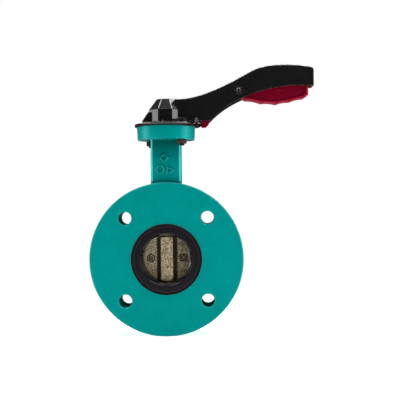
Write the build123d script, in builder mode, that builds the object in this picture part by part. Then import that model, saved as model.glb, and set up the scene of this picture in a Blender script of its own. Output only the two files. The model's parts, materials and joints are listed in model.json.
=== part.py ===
"""Hand-lever butterfly valve, DN50: a rubber-seated disc in a round flanged body,
turned by a squeeze-trigger lever that latches in a notch plate.

Millimetres. The origin is where the stem axis (+Z) crosses the pipe axis (Y).
The disc is shut and the lever points to +X.
"""

import os
from math import cos, radians, sin

from build123d import *

# Body
flange_r = 82.5
body_half = 20.0
flange_round = 2.0
bolt_circle_r = 62.5
bolt_hole_r = 7.0
bolt_count = 4
hole_chamfer = 0.9
neck_root = 60.0
neck_width = 33.0
neck_depth = 26.0
neck_corner = 4.0
neck_fillet = 1.0
pad_bottom = 128.5
pad_top = 142.9
pad_r = 31.7
pad_draft_deg = 3.0
pad_round = 1.0
pad_bolt_circle_r = 25.0
pad_hole_r = 3.5

# Seat liner and disc
seat_r = 25.7
seat_outer_r = 31.9
port_mouth_r = 27.8
port_straight_half = 14.0
lip_r = 38.0
lip_back = 16.0
lip_face = 21.5
lip_round = 1.4
cast_gap = 0.1
disc_r = 25.4
wing_half = 3.0
hub_half = 9.5
hub_flat = 13.0
hub_base = 22.0
hub_corner = 1.2

# Stem and its bearings
stem_r = 6.3
stem_foot_r = 4.7
stem_bottom = -57.0
drive_bottom = -24.3
drive_top = 25.2
drive_flat = 4.7
stem_shoulder = 148.0
stem_top = 163.0
square = 9.0
square_round = 0.6
run_gap = 0.05
bush_r = 8.25
foot_bush_r = 6.75
foot_bore_bottom = -59.0
foot_bush_bottom = -57.5
foot_bush_top = -33.0
middle_bush_bottom = 33.0
middle_bush_top = 53.0
neck_bore_bottom = 92.0
neck_waist_r = 6.7
ring_section_r = 0.9
ring_heights = (93.3, 95.4)
upper_bush_bottom = 96.6
upper_bush_top = 135.8
groove_r = 5.6
split_bottom = 136.0
split_top = 137.8
split_gap = 0.6
snap_bottom = 138.0
snap_top = 139.2
snap_inner_r = 7.0
snap_outer_r = 9.1
snap_gap_deg = 40.0

# Notch plate
plate_thick = 2.5
plate_r = 34.0
plate_hole_r = 8.0
notch_plate_r = 37.5
notch_floor_r = 31.9
notch_half = 2.4
notch_pitch_deg = 15.0
notch_count = 7
sector_start_deg = -7.0
sector_end_deg = 97.0
tab_near = 31.6
tab_far = 35.2
tab_gap = 0.4
tab_thick = 2.5
tab_top = 151.6
tab_round = 1.7
lug_inner = 8.0

# Plate fasteners, M6
bolt_r = 3.0
hexagon = 6
head_flats = 10.0
head_high = 4.0
washer_r = 6.0
washer_thick = 1.6
nut_high = 5.0
bolt_end = 121.6

# Lever
lever_half = 12.0
cheek = 2.8
roof = 3.3
lever_base = 148.2
hub_shoulder = 161.2
hub_top = 173.2
hub_across = 35.7
hub_top_across = 19.0
octagon = 8
hub_round = 1.8
lever_end = 160.6
lever_end_low = 185.6
lever_end_high = 206.4
end_round = 5.0
edge_round = 1.6
cavity_start = 22.0
cavity_floor = 130.0
tail_half = 11.0
tail_low = (-25.5, 148.2)
tail_high = (-18.5, 158.4)
top_line = (
    (10.0, 172.4),
    (31.5, 174.6),
    (53.0, 182.0),
    (80.0, 194.9),
    (98.0, 204.0),
    (124.0, 208.5),
    (145.0, 207.9),
)
low_line = (
    (145.0, 185.5),
    (124.0, 184.4),
    (107.0, 181.0),
    (86.0, 173.8),
    (64.0, 162.1),
    (53.0, 153.4),
)
heel = (47.7, 148.2)
square_gap = 0.05
screw_seat = 165.5
screw_r = 2.9
screw_hole_r = 3.2
screw_bottom = 151.0
counterbore_r = 5.6
screw_head_r = 5.0
screw_head_high = 6.0
socket_flats = 5.0
socket_deep = 3.0
spring_washer_r = 5.2
spring_washer_thick = 1.4

# Trigger and its pivot
pivot_x = 79.0
pivot_z = 181.0
pin_r = 2.2
pin_proud = 0.9
boss_r = 4.2
boss_proud = 0.5
clip_r = 4.0
clip_thick = 0.8
trigger_half = 8.8
trigger_boss_r = 5.6
arm_half = 4.0
tooth_half = 2.0
tooth_tip = 32.2
tooth_low = 143.2
tooth_high = 146.1
toe_start = 38.2
grip_top = 187.0
scallops = ((86.5, 170.9), (103.4, 167.6), (119.8, 166.4), (134.8, 168.9), (149.6, 172.4))
scallop_sag = 0.9
grip_round = 1.0
grip_end_rise = 3.4
grip_rim = 2.6
panel_deep = 1.4
grip_end = 154.6
spring_x = 100.0
spring_low = 184.0
spring_high = 199.4
spring_coil_r = 3.2
wire_r = 0.5
spring_turns = 6
spring_seat_r = 4.8
spring_peg_r = 2.2
spring_peg_high = 2.0

plate_top = pad_top + plate_thick
heads_at = plate_top + washer_thick


def save(part, name):
    """Label a finished piece and write it as its own file."""
    part.part.label = name
    export_step(part.part, f"parts/{name}.step")


def flat_ring(low, high, inner_r, outer_r):
    """A ring or bush around the stem axis, from one height to another."""
    with BuildPart() as ring:
        with BuildSketch(Plane.XY.offset(low)):
            Circle(outer_r)
            Circle(inner_r, mode=Mode.SUBTRACT)
        extrude(amount=high - low)
    return ring


def bolt_places():
    """The two opposite pad holes that hold the notch plate."""
    return PolarLocations(pad_bolt_circle_r, 2, start_angle=-45)


def make_valve_body():
    with BuildPart() as valve_body:
        with BuildSketch(Plane.XZ):
            Circle(flange_r)
        extrude(amount=body_half, both=True)
        fillet(valve_body.edges().filter_by(GeomType.CIRCLE), radius=flange_round)
        with BuildSketch(Plane.XY.offset(neck_root)):
            RectangleRounded(neck_width, neck_depth, neck_corner)
        extrude(amount=pad_bottom - neck_root + pad_round)
        with BuildSketch(Plane.XY.offset(pad_top)):
            Circle(pad_r)
        extrude(amount=pad_bottom - pad_top, taper=pad_draft_deg)
        under_pad = valve_body.edges().filter_by(
            lambda edge: abs(edge.center().Z - pad_bottom) < cast_gap
        )
        neck_top = under_pad.filter_by(lambda edge: edge.bounding_box().size.X <= neck_width)
        fillet(neck_top, radius=neck_fillet)
        rims = valve_body.edges().filter_by(GeomType.CIRCLE).filter_by(Plane.XY)
        fillet([rims.sort_by(Axis.Z)[-1]], radius=pad_round)
        # seat bore, and a recess in each face for the liner's lips
        with BuildSketch(Plane.XZ):
            Circle(seat_outer_r + cast_gap)
        extrude(amount=body_half, both=True, mode=Mode.SUBTRACT)
        for face_y in (-body_half, body_half):
            inward = 1 if face_y < 0 else -1
            with BuildSketch(Plane.XZ.offset(-face_y)):
                Circle(lip_r + cast_gap)
            extrude(amount=-inward * (body_half - lip_back), mode=Mode.SUBTRACT)
        # tapped holes for the pipe flange bolts
        with BuildSketch(Plane.XZ):
            with PolarLocations(bolt_circle_r, bolt_count, start_angle=45):
                Circle(bolt_hole_r)
        extrude(amount=body_half, both=True, mode=Mode.SUBTRACT)
        mouths = valve_body.edges().filter_by(GeomType.CIRCLE)
        mouths = mouths.filter_by(lambda edge: abs(edge.radius - bolt_hole_r) < cast_gap)
        chamfer(mouths, length=hole_chamfer)
        # pad holes
        with BuildSketch(Plane.XY.offset(pad_bottom - pad_round)):
            with PolarLocations(pad_bolt_circle_r, bolt_count, start_angle=45):
                Circle(pad_hole_r)
        extrude(amount=pad_top - pad_bottom + 2 * pad_round, mode=Mode.SUBTRACT)
        # stepped stem bore from the seat to the pad, and the blind one below
        bore_r = bush_r + run_gap
        for low, high, radius in (
            (0.0, middle_bush_top + run_gap, bore_r),
            (middle_bush_top, neck_bore_bottom, neck_waist_r),
            (neck_bore_bottom, pad_top, bore_r),
            (snap_bottom - run_gap, snap_top + run_gap, snap_outer_r + cast_gap),
            (foot_bore_bottom, 0.0, foot_bush_r + run_gap),
        ):
            with BuildSketch(Plane.XY.offset(low)):
                Circle(radius)
            extrude(amount=high - low, mode=Mode.SUBTRACT)
    save(valve_body, "valve_body")


def make_seat_liner():
    with BuildPart() as seat_liner:
        with BuildSketch(Plane.XY):
            with BuildLine():
                Polyline(
                    (seat_r, -port_straight_half),
                    (port_mouth_r, -lip_face),
                    (lip_r, -lip_face),
                    (lip_r, -lip_back - cast_gap),
                    (seat_outer_r, -lip_back - cast_gap),
                    (seat_outer_r, lip_back + cast_gap),
                    (lip_r, lip_back + cast_gap),
                    (lip_r, lip_face),
                    (port_mouth_r, lip_face),
                    (seat_r, port_straight_half),
                    close=True,
                )
            make_face()
        revolve(axis=Axis.Y)
        faces_y = seat_liner.edges().filter_by(GeomType.CIRCLE)
        lips = faces_y.filter_by(lambda edge: abs(abs(edge.center().Y) - lip_face) < cast_gap)
        fillet(lips, radius=lip_round)
        for height, radius in ((lip_r, stem_r + cast_gap), (-lip_r, stem_foot_r + cast_gap)):
            with BuildSketch(Plane.XY):
                Circle(radius)
            extrude(amount=height, mode=Mode.SUBTRACT)
    save(seat_liner, "seat_liner")


def make_disc():
    with BuildPart() as disc:
        with BuildSketch(Plane.XZ):
            Circle(disc_r)
        extrude(amount=wing_half, both=True)
        with BuildSketch(Plane.XY):
            with BuildLine():
                Polyline(
                    (hub_base / 2, 0),
                    (hub_flat / 2, hub_half),
                    (-hub_flat / 2, hub_half),
                    (-hub_base / 2, 0),
                    (-hub_flat / 2, -hub_half),
                    (hub_flat / 2, -hub_half),
                    close=True,
                )
            make_face()
        extrude(amount=disc_r, both=True)
        long_edges = disc.edges().filter_by(Axis.Z).filter_by(
            lambda edge: abs(edge.center().Y) > wing_half - cast_gap
        )
        fillet(long_edges, radius=hub_corner)
        Sphere(disc_r, mode=Mode.INTERSECT)
        # broached hole for the stem's two flats
        with BuildSketch(Plane.XY):
            Circle(stem_r + run_gap)
            Rectangle(2 * (drive_flat + run_gap), 2 * disc_r, mode=Mode.INTERSECT)
        extrude(amount=disc_r, both=True, mode=Mode.SUBTRACT)
    save(disc, "disc")


def make_stem():
    with BuildPart() as stem:
        with BuildSketch(Plane.XY.offset(stem_bottom)):
            Circle(stem_foot_r)
        extrude(amount=drive_bottom - stem_bottom)
        with BuildSketch(Plane.XY.offset(drive_bottom)):
            Circle(stem_r)
            Rectangle(2 * drive_flat, 2 * stem_r, mode=Mode.INTERSECT)
        extrude(amount=drive_top - drive_bottom)
        with BuildSketch(Plane.XY.offset(drive_top)):
            Circle(stem_r)
        extrude(amount=stem_shoulder - drive_top)
        with BuildSketch(Plane.XY.offset(stem_shoulder)):
            RectangleRounded(square, square, square_round)
        extrude(amount=stem_top - stem_shoulder)
        chamfer(stem.faces().sort_by(Axis.Z)[-1].edges(), length=run_gap * 10)
        chamfer(stem.faces().sort_by(Axis.Z)[0].edges(), length=1.0)
        # groove for the split ring, and the tapped hole for the lever's screw
        with BuildSketch(Plane.XY.offset(split_bottom - run_gap)):
            Circle(stem_r + 1)
            Circle(groove_r, mode=Mode.SUBTRACT)
        extrude(amount=split_top - split_bottom + 2 * run_gap, mode=Mode.SUBTRACT)
        with BuildSketch(Plane.XY.offset(stem_top)):
            Circle(screw_r + run_gap)
        extrude(amount=screw_bottom - stem_top - 1, mode=Mode.SUBTRACT)
    save(stem, "stem")


def make_bushes():
    foot_hole_r = stem_foot_r + run_gap
    stem_hole_r = stem_r + run_gap
    lower_bush = flat_ring(foot_bush_bottom, foot_bush_top, foot_hole_r, foot_bush_r)
    save(lower_bush, "lower_bush")
    middle_bush = flat_ring(middle_bush_bottom, middle_bush_top, stem_hole_r, bush_r)
    save(middle_bush, "middle_bush")
    upper_bush = flat_ring(upper_bush_bottom, upper_bush_top, stem_hole_r, bush_r)
    save(upper_bush, "upper_bush")


def make_stem_rings():
    ring_r = (stem_r + bush_r) / 2 + run_gap
    with BuildPart() as stem_o_rings:
        for height in ring_heights:
            with Locations((0, 0, height)):
                Torus(ring_r, ring_section_r)
    save(stem_o_rings, "stem_o_rings")

    with BuildPart() as split_ring:
        with BuildSketch(Plane.XY.offset(split_bottom)):
            Circle(bush_r)
            Circle(groove_r + run_gap, mode=Mode.SUBTRACT)
            Rectangle(3 * bush_r, split_gap, mode=Mode.SUBTRACT)
        extrude(amount=split_top - split_bottom)
    save(split_ring, "split_ring")

    with BuildPart() as retaining_ring:
        with BuildSketch(Plane.XY.offset(snap_bottom)):
            Circle(snap_outer_r)
            Circle(snap_inner_r, mode=Mode.SUBTRACT)
            half_gap = radians(snap_gap_deg / 2)
            with BuildLine():
                Polyline(
                    (0, 0),
                    (2 * snap_outer_r * cos(half_gap), 2 * snap_outer_r * sin(half_gap)),
                    (2 * snap_outer_r * cos(half_gap), -2 * snap_outer_r * sin(half_gap)),
                    close=True,
                )
            make_face(mode=Mode.SUBTRACT)
        extrude(amount=snap_top - snap_bottom)
    save(retaining_ring, "retaining_ring")


def make_notch_plate():
    sector_mid = radians((sector_start_deg + sector_end_deg) / 2)
    sector_half = radians((sector_end_deg - sector_start_deg) / 2)
    reach = 2 * notch_plate_r
    tab_mid = (tab_near + tab_far) / 2
    tab_back = lever_half + tab_gap + tab_thick
    with BuildPart() as notch_plate:
        with BuildSketch(Plane.XY.offset(pad_top)):
            with BuildLine():
                wedge = [(0, 0)]
                for turn in (-1, -0.5, 0, 0.5, 1):
                    angle = sector_mid + turn * sector_half
                    wedge.append((reach * cos(angle), reach * sin(angle)))
                Polyline(*wedge, close=True)
            make_face()
            Circle(notch_plate_r, mode=Mode.INTERSECT)
            Circle(plate_r)
            # lugs that carry the two stop tabs
            with Locations((tab_mid, -(tab_back + lug_inner) / 2)):
                Rectangle(tab_far - tab_near, tab_back - lug_inner)
            with Locations((-(tab_back + lug_inner) / 2, tab_mid)):
                Rectangle(tab_back - lug_inner, tab_far - tab_near)
            Circle(plate_hole_r, mode=Mode.SUBTRACT)
            with bolt_places():
                Circle(pad_hole_r, mode=Mode.SUBTRACT)
            notch_long = notch_plate_r - notch_floor_r
            with PolarLocations(notch_plate_r, notch_count, angular_range=notch_pitch_deg * notch_count):
                Rectangle(2 * notch_long, 2 * notch_half, mode=Mode.SUBTRACT)
        extrude(amount=plate_thick)
        # stop tabs, bent up beside the lever's shut and open places
        tab_high = tab_top - pad_top
        for plane in (
            Plane(origin=(tab_mid, -tab_back, pad_top), x_dir=(1, 0, 0), z_dir=(0, 1, 0)),
            Plane(origin=(-tab_back, tab_mid, pad_top), x_dir=(0, 1, 0), z_dir=(1, 0, 0)),
        ):
            up = 1 if plane.y_dir.Z > 0 else -1
            with BuildSketch(plane):
                with Locations((0, up * tab_high / 2)):
                    RectangleRounded(tab_far - tab_near, tab_high, tab_round)
                with Locations((0, up * tab_high / 4)):
                    Rectangle(tab_far - tab_near, tab_high / 2)
            extrude(amount=tab_thick)
    save(notch_plate, "notch_plate")


def make_plate_fasteners():
    with BuildPart() as plate_bolts:
        with BuildSketch(Plane.XY.offset(bolt_end)):
            with bolt_places():
                Circle(bolt_r)
        extrude(amount=heads_at - bolt_end)
        # each head is turned so that a flat faces the lever where it comes closest
        with BuildSketch(Plane.XY.offset(heads_at)):
            for place, turn in zip(bolt_places(), (0, 30)):
                with Locations(place.position):
                    RegularPolygon(head_flats / 2, hexagon, major_radius=False, rotation=turn)
        extrude(amount=head_high)
    save(plate_bolts, "plate_bolts")

    with BuildPart() as plate_washers:
        with BuildSketch(Plane.XY.offset(plate_top)):
            with bolt_places():
                Circle(washer_r)
                Circle(bolt_r + cast_gap, mode=Mode.SUBTRACT)
        extrude(amount=washer_thick)
    save(plate_washers, "plate_washers")

    with BuildPart() as plate_nuts:
        with BuildSketch(Plane.XY.offset(pad_bottom)):
            with bolt_places():
                RegularPolygon(head_flats / 2, hexagon, major_radius=False, rotation=180 / hexagon)
                Circle(bolt_r + run_gap, mode=Mode.SUBTRACT)
        extrude(amount=-nut_high)
    save(plate_nuts, "plate_nuts")


def make_hub():
    """Octagonal hub, straight below and tapered above, with rounded edges."""
    octagon_turn = 180 / octagon
    with BuildPart() as hub:
        with BuildSketch(Plane.XY.offset(lever_base)):
            RegularPolygon(hub_across / 2, octagon, major_radius=False, rotation=octagon_turn)
        extrude(amount=hub_shoulder - lever_base)
        with BuildSketch(Plane.XY.offset(hub_shoulder)):
            RegularPolygon(hub_across / 2, octagon, major_radius=False, rotation=octagon_turn)
        with BuildSketch(Plane.XY.offset(hub_top)):
            RegularPolygon(hub_top_across / 2, octagon, major_radius=False, rotation=octagon_turn)
        loft()
        rounded = hub.edges().filter_by(lambda edge: edge.center().Z > lever_base + hub_round)
        fillet(rounded, radius=hub_round)
    return hub


def make_lever():
    hub = make_hub()
    with BuildPart() as lever:
        # arm, drawn from the side
        with BuildSketch(Plane.XZ):
            with BuildLine():
                upper = Spline(*top_line)
                Line(upper @ 1, (lever_end - end_round, lever_end_high))
                RadiusArc(
                    (lever_end - end_round, lever_end_high),
                    (lever_end, lever_end_high - end_round),
                    end_round,
                )
                Polyline(
                    (lever_end, lever_end_high - end_round),
                    (lever_end, lever_end_low),
                    low_line[0],
                )
                lower = Spline(*low_line)
                Polyline(lower @ 1, heel, (top_line[0][0], lever_base), upper @ 0)
            make_face()
        extrude(amount=lever_half, both=True)
        sides = lever.edges().filter_by(lambda edge: abs(abs(edge.center().Y) - lever_half) < cast_gap)
        crest = sides.filter_by(lambda edge: edge.center().Z > low_line[1][1] + roof)
        fillet(crest, radius=edge_round)
        # channel between the cheeks, open below
        with BuildSketch(Plane.XZ):
            with BuildLine():
                ceiling = Spline(*[(x, z - roof) for x, z in top_line])
                Polyline(
                    ceiling @ 1,
                    (lever_end - cheek, lever_end_high - end_round - roof / 2),
                    (lever_end - cheek, cavity_floor),
                    (top_line[0][0], cavity_floor),
                    ceiling @ 0,
                )
            make_face()
            with Locations((cavity_start + reach_of_channel() / 2, (cavity_floor + hub_top) / 2)):
                Rectangle(reach_of_channel(), 2 * hub_top, mode=Mode.INTERSECT)
        extrude(amount=lever_half - cheek, both=True, mode=Mode.SUBTRACT)
        # tail behind the hub
        with BuildSketch(Plane.XZ):
            with BuildLine():
                Polyline(tail_low, tail_high, (0, tail_high[1]), (0, lever_base), close=True)
            make_face()
        extrude(amount=tail_half, both=True)
        add(hub.part)
        # spring seat under the roof, pivot bosses on the cheeks
        with BuildSketch(Plane.XY.offset(spring_high)):
            with Locations((spring_x, 0)):
                Circle(spring_seat_r)
        extrude(until=Until.NEXT)
        for side in (-1, 1):
            with BuildSketch(Plane.XZ.offset(side * (lever_half - cheek / 2))):
                with Locations((pivot_x, pivot_z)):
                    Circle(boss_r)
            extrude(amount=side * (cheek / 2 + boss_proud))
        with BuildSketch(Plane.XZ):
            with Locations((pivot_x, pivot_z)):
                Circle(pin_r + run_gap)
        extrude(amount=lever_half + boss_proud, both=True, mode=Mode.SUBTRACT)
        # square socket for the stem, screw hole and counterbore
        with BuildSketch(Plane.XY.offset(lever_base)):
            Rectangle(square + 2 * square_gap, square + 2 * square_gap)
        extrude(amount=stem_top - lever_base, mode=Mode.SUBTRACT)
        with BuildSketch(Plane.XY.offset(lever_base)):
            Circle(screw_hole_r)
        extrude(amount=hub_top - lever_base, mode=Mode.SUBTRACT)
        with BuildSketch(Plane.XY.offset(screw_seat)):
            Circle(counterbore_r)
        extrude(amount=hub_top - screw_seat, mode=Mode.SUBTRACT)
    save(lever, "lever")


def reach_of_channel():
    """Length of the hollow under the lever, from the hub to the end wall."""
    return lever_end - cheek - cavity_start


def make_lever_screw():
    head_at = screw_seat + spring_washer_thick
    with BuildPart() as lever_screw:
        with BuildSketch(Plane.XY.offset(screw_bottom)):
            Circle(screw_r)
        extrude(amount=head_at - screw_bottom)
        with BuildSketch(Plane.XY.offset(head_at)):
            Circle(screw_head_r)
        extrude(amount=screw_head_high)
        with BuildSketch(Plane.XY.offset(head_at + screw_head_high)):
            RegularPolygon(socket_flats / 2, hexagon, major_radius=False)
        extrude(amount=-socket_deep, mode=Mode.SUBTRACT)
    save(lever_screw, "lever_screw")

    lever_washer = flat_ring(screw_seat, head_at, screw_r + cast_gap, spring_washer_r)
    save(lever_washer, "lever_washer")


def make_pivot():
    with BuildPart() as pivot_pin:
        with BuildSketch(Plane.XZ):
            with Locations((pivot_x, pivot_z)):
                Circle(pin_r)
        extrude(amount=lever_half + boss_proud + pin_proud, both=True)
        chamfer(pivot_pin.edges().filter_by(GeomType.CIRCLE), length=pin_proud / 2)
    save(pivot_pin, "pivot_pin")

    with BuildPart() as pivot_clip:
        with BuildSketch(Plane.XZ.offset(-lever_half - boss_proud)):
            with Locations((pivot_x, pivot_z)):
                Circle(clip_r)
                Circle(pin_r + run_gap, mode=Mode.SUBTRACT)
        extrude(amount=-clip_thick)
    save(pivot_clip, "pivot_clip")


def make_trigger():
    with BuildPart() as trigger:
        # grip with a scalloped underside
        with BuildSketch(Plane.XZ):
            with BuildLine():
                Polyline(
                    scallops[0],
                    (pivot_x, pivot_z - trigger_boss_r),
                    (pivot_x, grip_top - 1),
                    (spring_x - spring_seat_r, spring_low),
                    (spring_x + spring_seat_r, spring_low),
                    (scallops[2][0], grip_top),
                    (grip_end, grip_top),
                    (grip_end, scallops[-1][1] + grip_end_rise),
                    scallops[-1],
                )
                for left, right in zip(scallops, scallops[1:]):
                    middle = ((left[0] + right[0]) / 2, (left[1] + right[1]) / 2 + scallop_sag)
                    ThreePointArc(left, middle, right)
            make_face()
        extrude(amount=trigger_half, both=True)
        outer = trigger.edges().filter_by(
            lambda edge: abs(abs(edge.center().Y) - trigger_half) < cast_gap
        )
        outer = outer.filter_by(lambda edge: edge.center().X > scallops[0][0])
        outer = outer.filter_by(lambda edge: edge.center().Z < grip_top - grip_round)
        fillet(outer, radius=grip_round)
        # shallow panel sunk in each side of the grip, which leaves a rim below and at the end
        for side in (-1, 1):
            panel_low = [(x, z + grip_rim) for x, z in scallops]
            with BuildSketch(Plane.XZ.offset(side * trigger_half)):
                with BuildLine():
                    Spline(*panel_low)
                    Polyline(
                        panel_low[-1],
                        (grip_end - grip_rim, panel_low[-1][1] + grip_end_rise),
                        (grip_end - grip_rim, grip_top + grip_rim),
                        (scallops[0][0], grip_top + grip_rim),
                        panel_low[0],
                    )
                make_face()
            extrude(amount=-side * panel_deep, mode=Mode.SUBTRACT)
        # pivot boss
        with BuildSketch(Plane.XZ):
            with Locations((pivot_x, pivot_z)):
                Circle(trigger_boss_r)
        extrude(amount=trigger_half, both=True)
        # arm down to the toe outside the notch plate
        with BuildSketch(Plane.XZ):
            with BuildLine():
                Polyline(
                    (pivot_x, pivot_z - trigger_boss_r),
                    (61.0, 163.4),
                    (51.5, 155.2),
                    (47.6, 148.6),
                    (46.2, 144.6),
                    (43.0, 142.0),
                    (39.4, 141.9),
                    (toe_start, tooth_low),
                    (toe_start, tooth_high + 3),
                    (41.0, 159.0),
                    (52.0, 170.5),
                    (pivot_x - 3, pivot_z + trigger_boss_r - 1),
                    (pivot_x, pivot_z),
                    close=True,
                )
            make_face()
        extrude(amount=arm_half, both=True)
        with BuildSketch(Plane.XZ):
            with BuildLine():
                Polyline(
                    (toe_start + 2, tooth_low),
                    (tooth_tip, tooth_low),
                    (tooth_tip, tooth_high - 0.6),
                    (tooth_tip + 1, tooth_high),
                    (toe_start + 2, tooth_high + 1),
                    close=True,
                )
            make_face()
        extrude(amount=tooth_half, both=True)
        # peg that centres the spring
        with BuildSketch(Plane.XY.offset(spring_low - 1)):
            with Locations((spring_x, 0)):
                Circle(spring_peg_r)
        extrude(amount=spring_peg_high + 1)
        with BuildSketch(Plane.XZ):
            with Locations((pivot_x, pivot_z)):
                Circle(pin_r + run_gap)
        extrude(amount=trigger_half, both=True, mode=Mode.SUBTRACT)
    save(trigger, "trigger")


def make_trigger_spring():
    high = spring_high - spring_low - 2 * wire_r - 2 * cast_gap
    coil = Helix(
        pitch=high / spring_turns,
        height=high,
        radius=spring_coil_r,
        center=(spring_x, 0, spring_low + wire_r + cast_gap),
        mode=Mode.PRIVATE,
    )
    with BuildPart() as trigger_spring:
        with BuildSketch(Plane(origin=coil @ 0, z_dir=coil % 0)):
            Circle(wire_r)
        sweep(path=coil, is_frenet=True)
    save(trigger_spring, "trigger_spring")


os.makedirs("parts", exist_ok=True)
make_valve_body()
make_seat_liner()
make_disc()
make_stem()
make_bushes()
make_stem_rings()
make_notch_plate()
make_plate_fasteners()
make_lever()
make_lever_screw()
make_pivot()
make_trigger()
make_trigger_spring()
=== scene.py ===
import json
import math

import bmesh
import bpy
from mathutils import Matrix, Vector


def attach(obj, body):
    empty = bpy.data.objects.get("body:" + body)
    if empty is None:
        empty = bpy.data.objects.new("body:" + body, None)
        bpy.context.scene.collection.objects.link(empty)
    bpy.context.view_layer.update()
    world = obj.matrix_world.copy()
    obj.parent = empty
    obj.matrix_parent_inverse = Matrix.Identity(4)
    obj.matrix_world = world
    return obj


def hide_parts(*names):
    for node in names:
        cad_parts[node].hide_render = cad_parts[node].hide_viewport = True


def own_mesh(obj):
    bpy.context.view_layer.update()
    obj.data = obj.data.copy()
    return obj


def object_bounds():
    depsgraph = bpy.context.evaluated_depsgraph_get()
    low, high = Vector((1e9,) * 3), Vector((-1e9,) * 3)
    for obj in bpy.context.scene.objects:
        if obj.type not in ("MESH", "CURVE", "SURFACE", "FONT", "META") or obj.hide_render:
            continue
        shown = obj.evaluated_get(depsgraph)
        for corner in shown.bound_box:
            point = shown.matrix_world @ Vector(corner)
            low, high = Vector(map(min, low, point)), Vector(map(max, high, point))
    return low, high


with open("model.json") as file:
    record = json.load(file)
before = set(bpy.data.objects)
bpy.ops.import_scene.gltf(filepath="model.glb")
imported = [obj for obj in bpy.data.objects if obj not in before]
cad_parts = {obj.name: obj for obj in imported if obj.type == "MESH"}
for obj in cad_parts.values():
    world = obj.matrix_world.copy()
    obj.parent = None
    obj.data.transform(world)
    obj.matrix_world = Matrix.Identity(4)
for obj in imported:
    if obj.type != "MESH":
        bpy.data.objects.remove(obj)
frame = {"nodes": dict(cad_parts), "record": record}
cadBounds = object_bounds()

nodes = frame["nodes"]
print("frame: %d CAD nodes" % len(nodes))


# node tree helpers

def addNode(tree, kind, values=None, **settings):
    node = tree.nodes.new(kind)
    for name, setting in settings.items():
        setattr(node, name, setting)
    for socket, value in (values or {}).items():
        node.inputs[socket].default_value = value
    return node


def join(tree, start, startSocket, end, endSocket):
    tree.links.new(start.outputs[startSocket], end.inputs[endSocket])


def newGroup(name, inputs, outputs):
    group = bpy.data.node_groups.new(name, "ShaderNodeTree")
    for socket, value in inputs.items():
        made = group.interface.new_socket(socket, in_out="INPUT", socket_type="NodeSocketFloat")
        made.default_value = value
    for socket in outputs:
        group.interface.new_socket(socket, in_out="OUTPUT", socket_type="NodeSocketFloat")
    return group, group.nodes.new("NodeGroupInput"), group.nodes.new("NodeGroupOutput")


def useGroup(tree, group, values=None):
    node = tree.nodes.new("ShaderNodeGroup")
    node.node_tree = group
    for socket, value in (values or {}).items():
        node.inputs[socket].default_value = value
    return node


def noiseAt(tree, place, scale, detail, roughness):
    # scale is a number, or the group input socket that sets it
    noise = addNode(tree, "ShaderNodeTexNoise", {"Detail": detail, "Roughness": roughness})
    join(tree, place, "Object", noise, "Vector")
    if isinstance(scale, (int, float)):
        noise.inputs["Scale"].default_value = scale
    else:
        tree.links.new(scale, noise.inputs["Scale"])
    return noise


# shared surface effects

effectSpans = {
    "wearBreakup": (0.38, 0.62), "dustFacing": (0.5, 0.98), "dustPatches": (0.35, 0.7),
    "hollow": (0.85, 0.35), "grain": (0.3, 0.7),
}


def spanNode(tree, name, low=0.0, high=1.0):
    # stretches one of the spans above to run from low to high
    start, end = effectSpans[name]
    return addNode(tree, "ShaderNodeMapRange", {1: start, 2: end, 3: low, 4: high})


def makeCastSkin():
    # the unevenness of a casting or moulding: fine grain and slow waves
    group, enter, leave = newGroup(
        "castSkin", {"Scale": 900.0, "Wave Scale": 60.0, "Wave Share": 0.5}, ["Height", "Mottle", "Grain"])
    place = addNode(group, "ShaderNodeTexCoord")
    grain = noiseAt(group, place, enter.outputs["Scale"], 6.0, 0.62)
    wave = noiseAt(group, place, enter.outputs["Wave Scale"], 3.0, 0.5)
    blend = addNode(group, "ShaderNodeMix")
    join(group, enter, "Wave Share", blend, 0)
    join(group, grain, "Fac", blend, 2)
    join(group, wave, "Fac", blend, 3)
    join(group, blend, 0, leave, "Height")
    join(group, wave, "Fac", leave, "Mottle")
    join(group, grain, "Fac", leave, "Grain")
    return group


def makeEdgeWearAndSheen():
    # 1 on outer edges, broken up by noise, and 0 elsewhere: worn edges, and on the teal and black paint also
    # painted highlight along the edges
    group, enter, leave = newGroup(
        "edgeWearAndSheen", {"Radius": 0.0008, "Gain": 3.0, "Breakup Scale": 400.0}, ["Mask"])
    place = addNode(group, "ShaderNodeTexCoord")
    soft = addNode(group, "ShaderNodeBevel", samples=4)
    join(group, enter, "Radius", soft, "Radius")
    flat = addNode(group, "ShaderNodeNewGeometry")
    together = addNode(group, "ShaderNodeVectorMath", operation="DOT_PRODUCT")
    join(group, soft, "Normal", together, 0)
    join(group, flat, "Normal", together, 1)
    bent = addNode(group, "ShaderNodeMath", {0: 1.0}, operation="SUBTRACT")
    join(group, together, "Value", bent, 1)
    gained = addNode(group, "ShaderNodeMath", operation="MULTIPLY", use_clamp=True)
    join(group, bent, 0, gained, 0)
    join(group, enter, "Gain", gained, 1)
    noise = noiseAt(group, place, enter.outputs["Breakup Scale"], 4.0, 0.6)
    broken = spanNode(group, "wearBreakup")
    join(group, noise, "Fac", broken, 0)
    mask = addNode(group, "ShaderNodeMath", operation="MULTIPLY", use_clamp=True)
    join(group, gained, 0, mask, 0)
    join(group, broken, 0, mask, 1)
    join(group, mask, 0, leave, "Mask")
    return group


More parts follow.
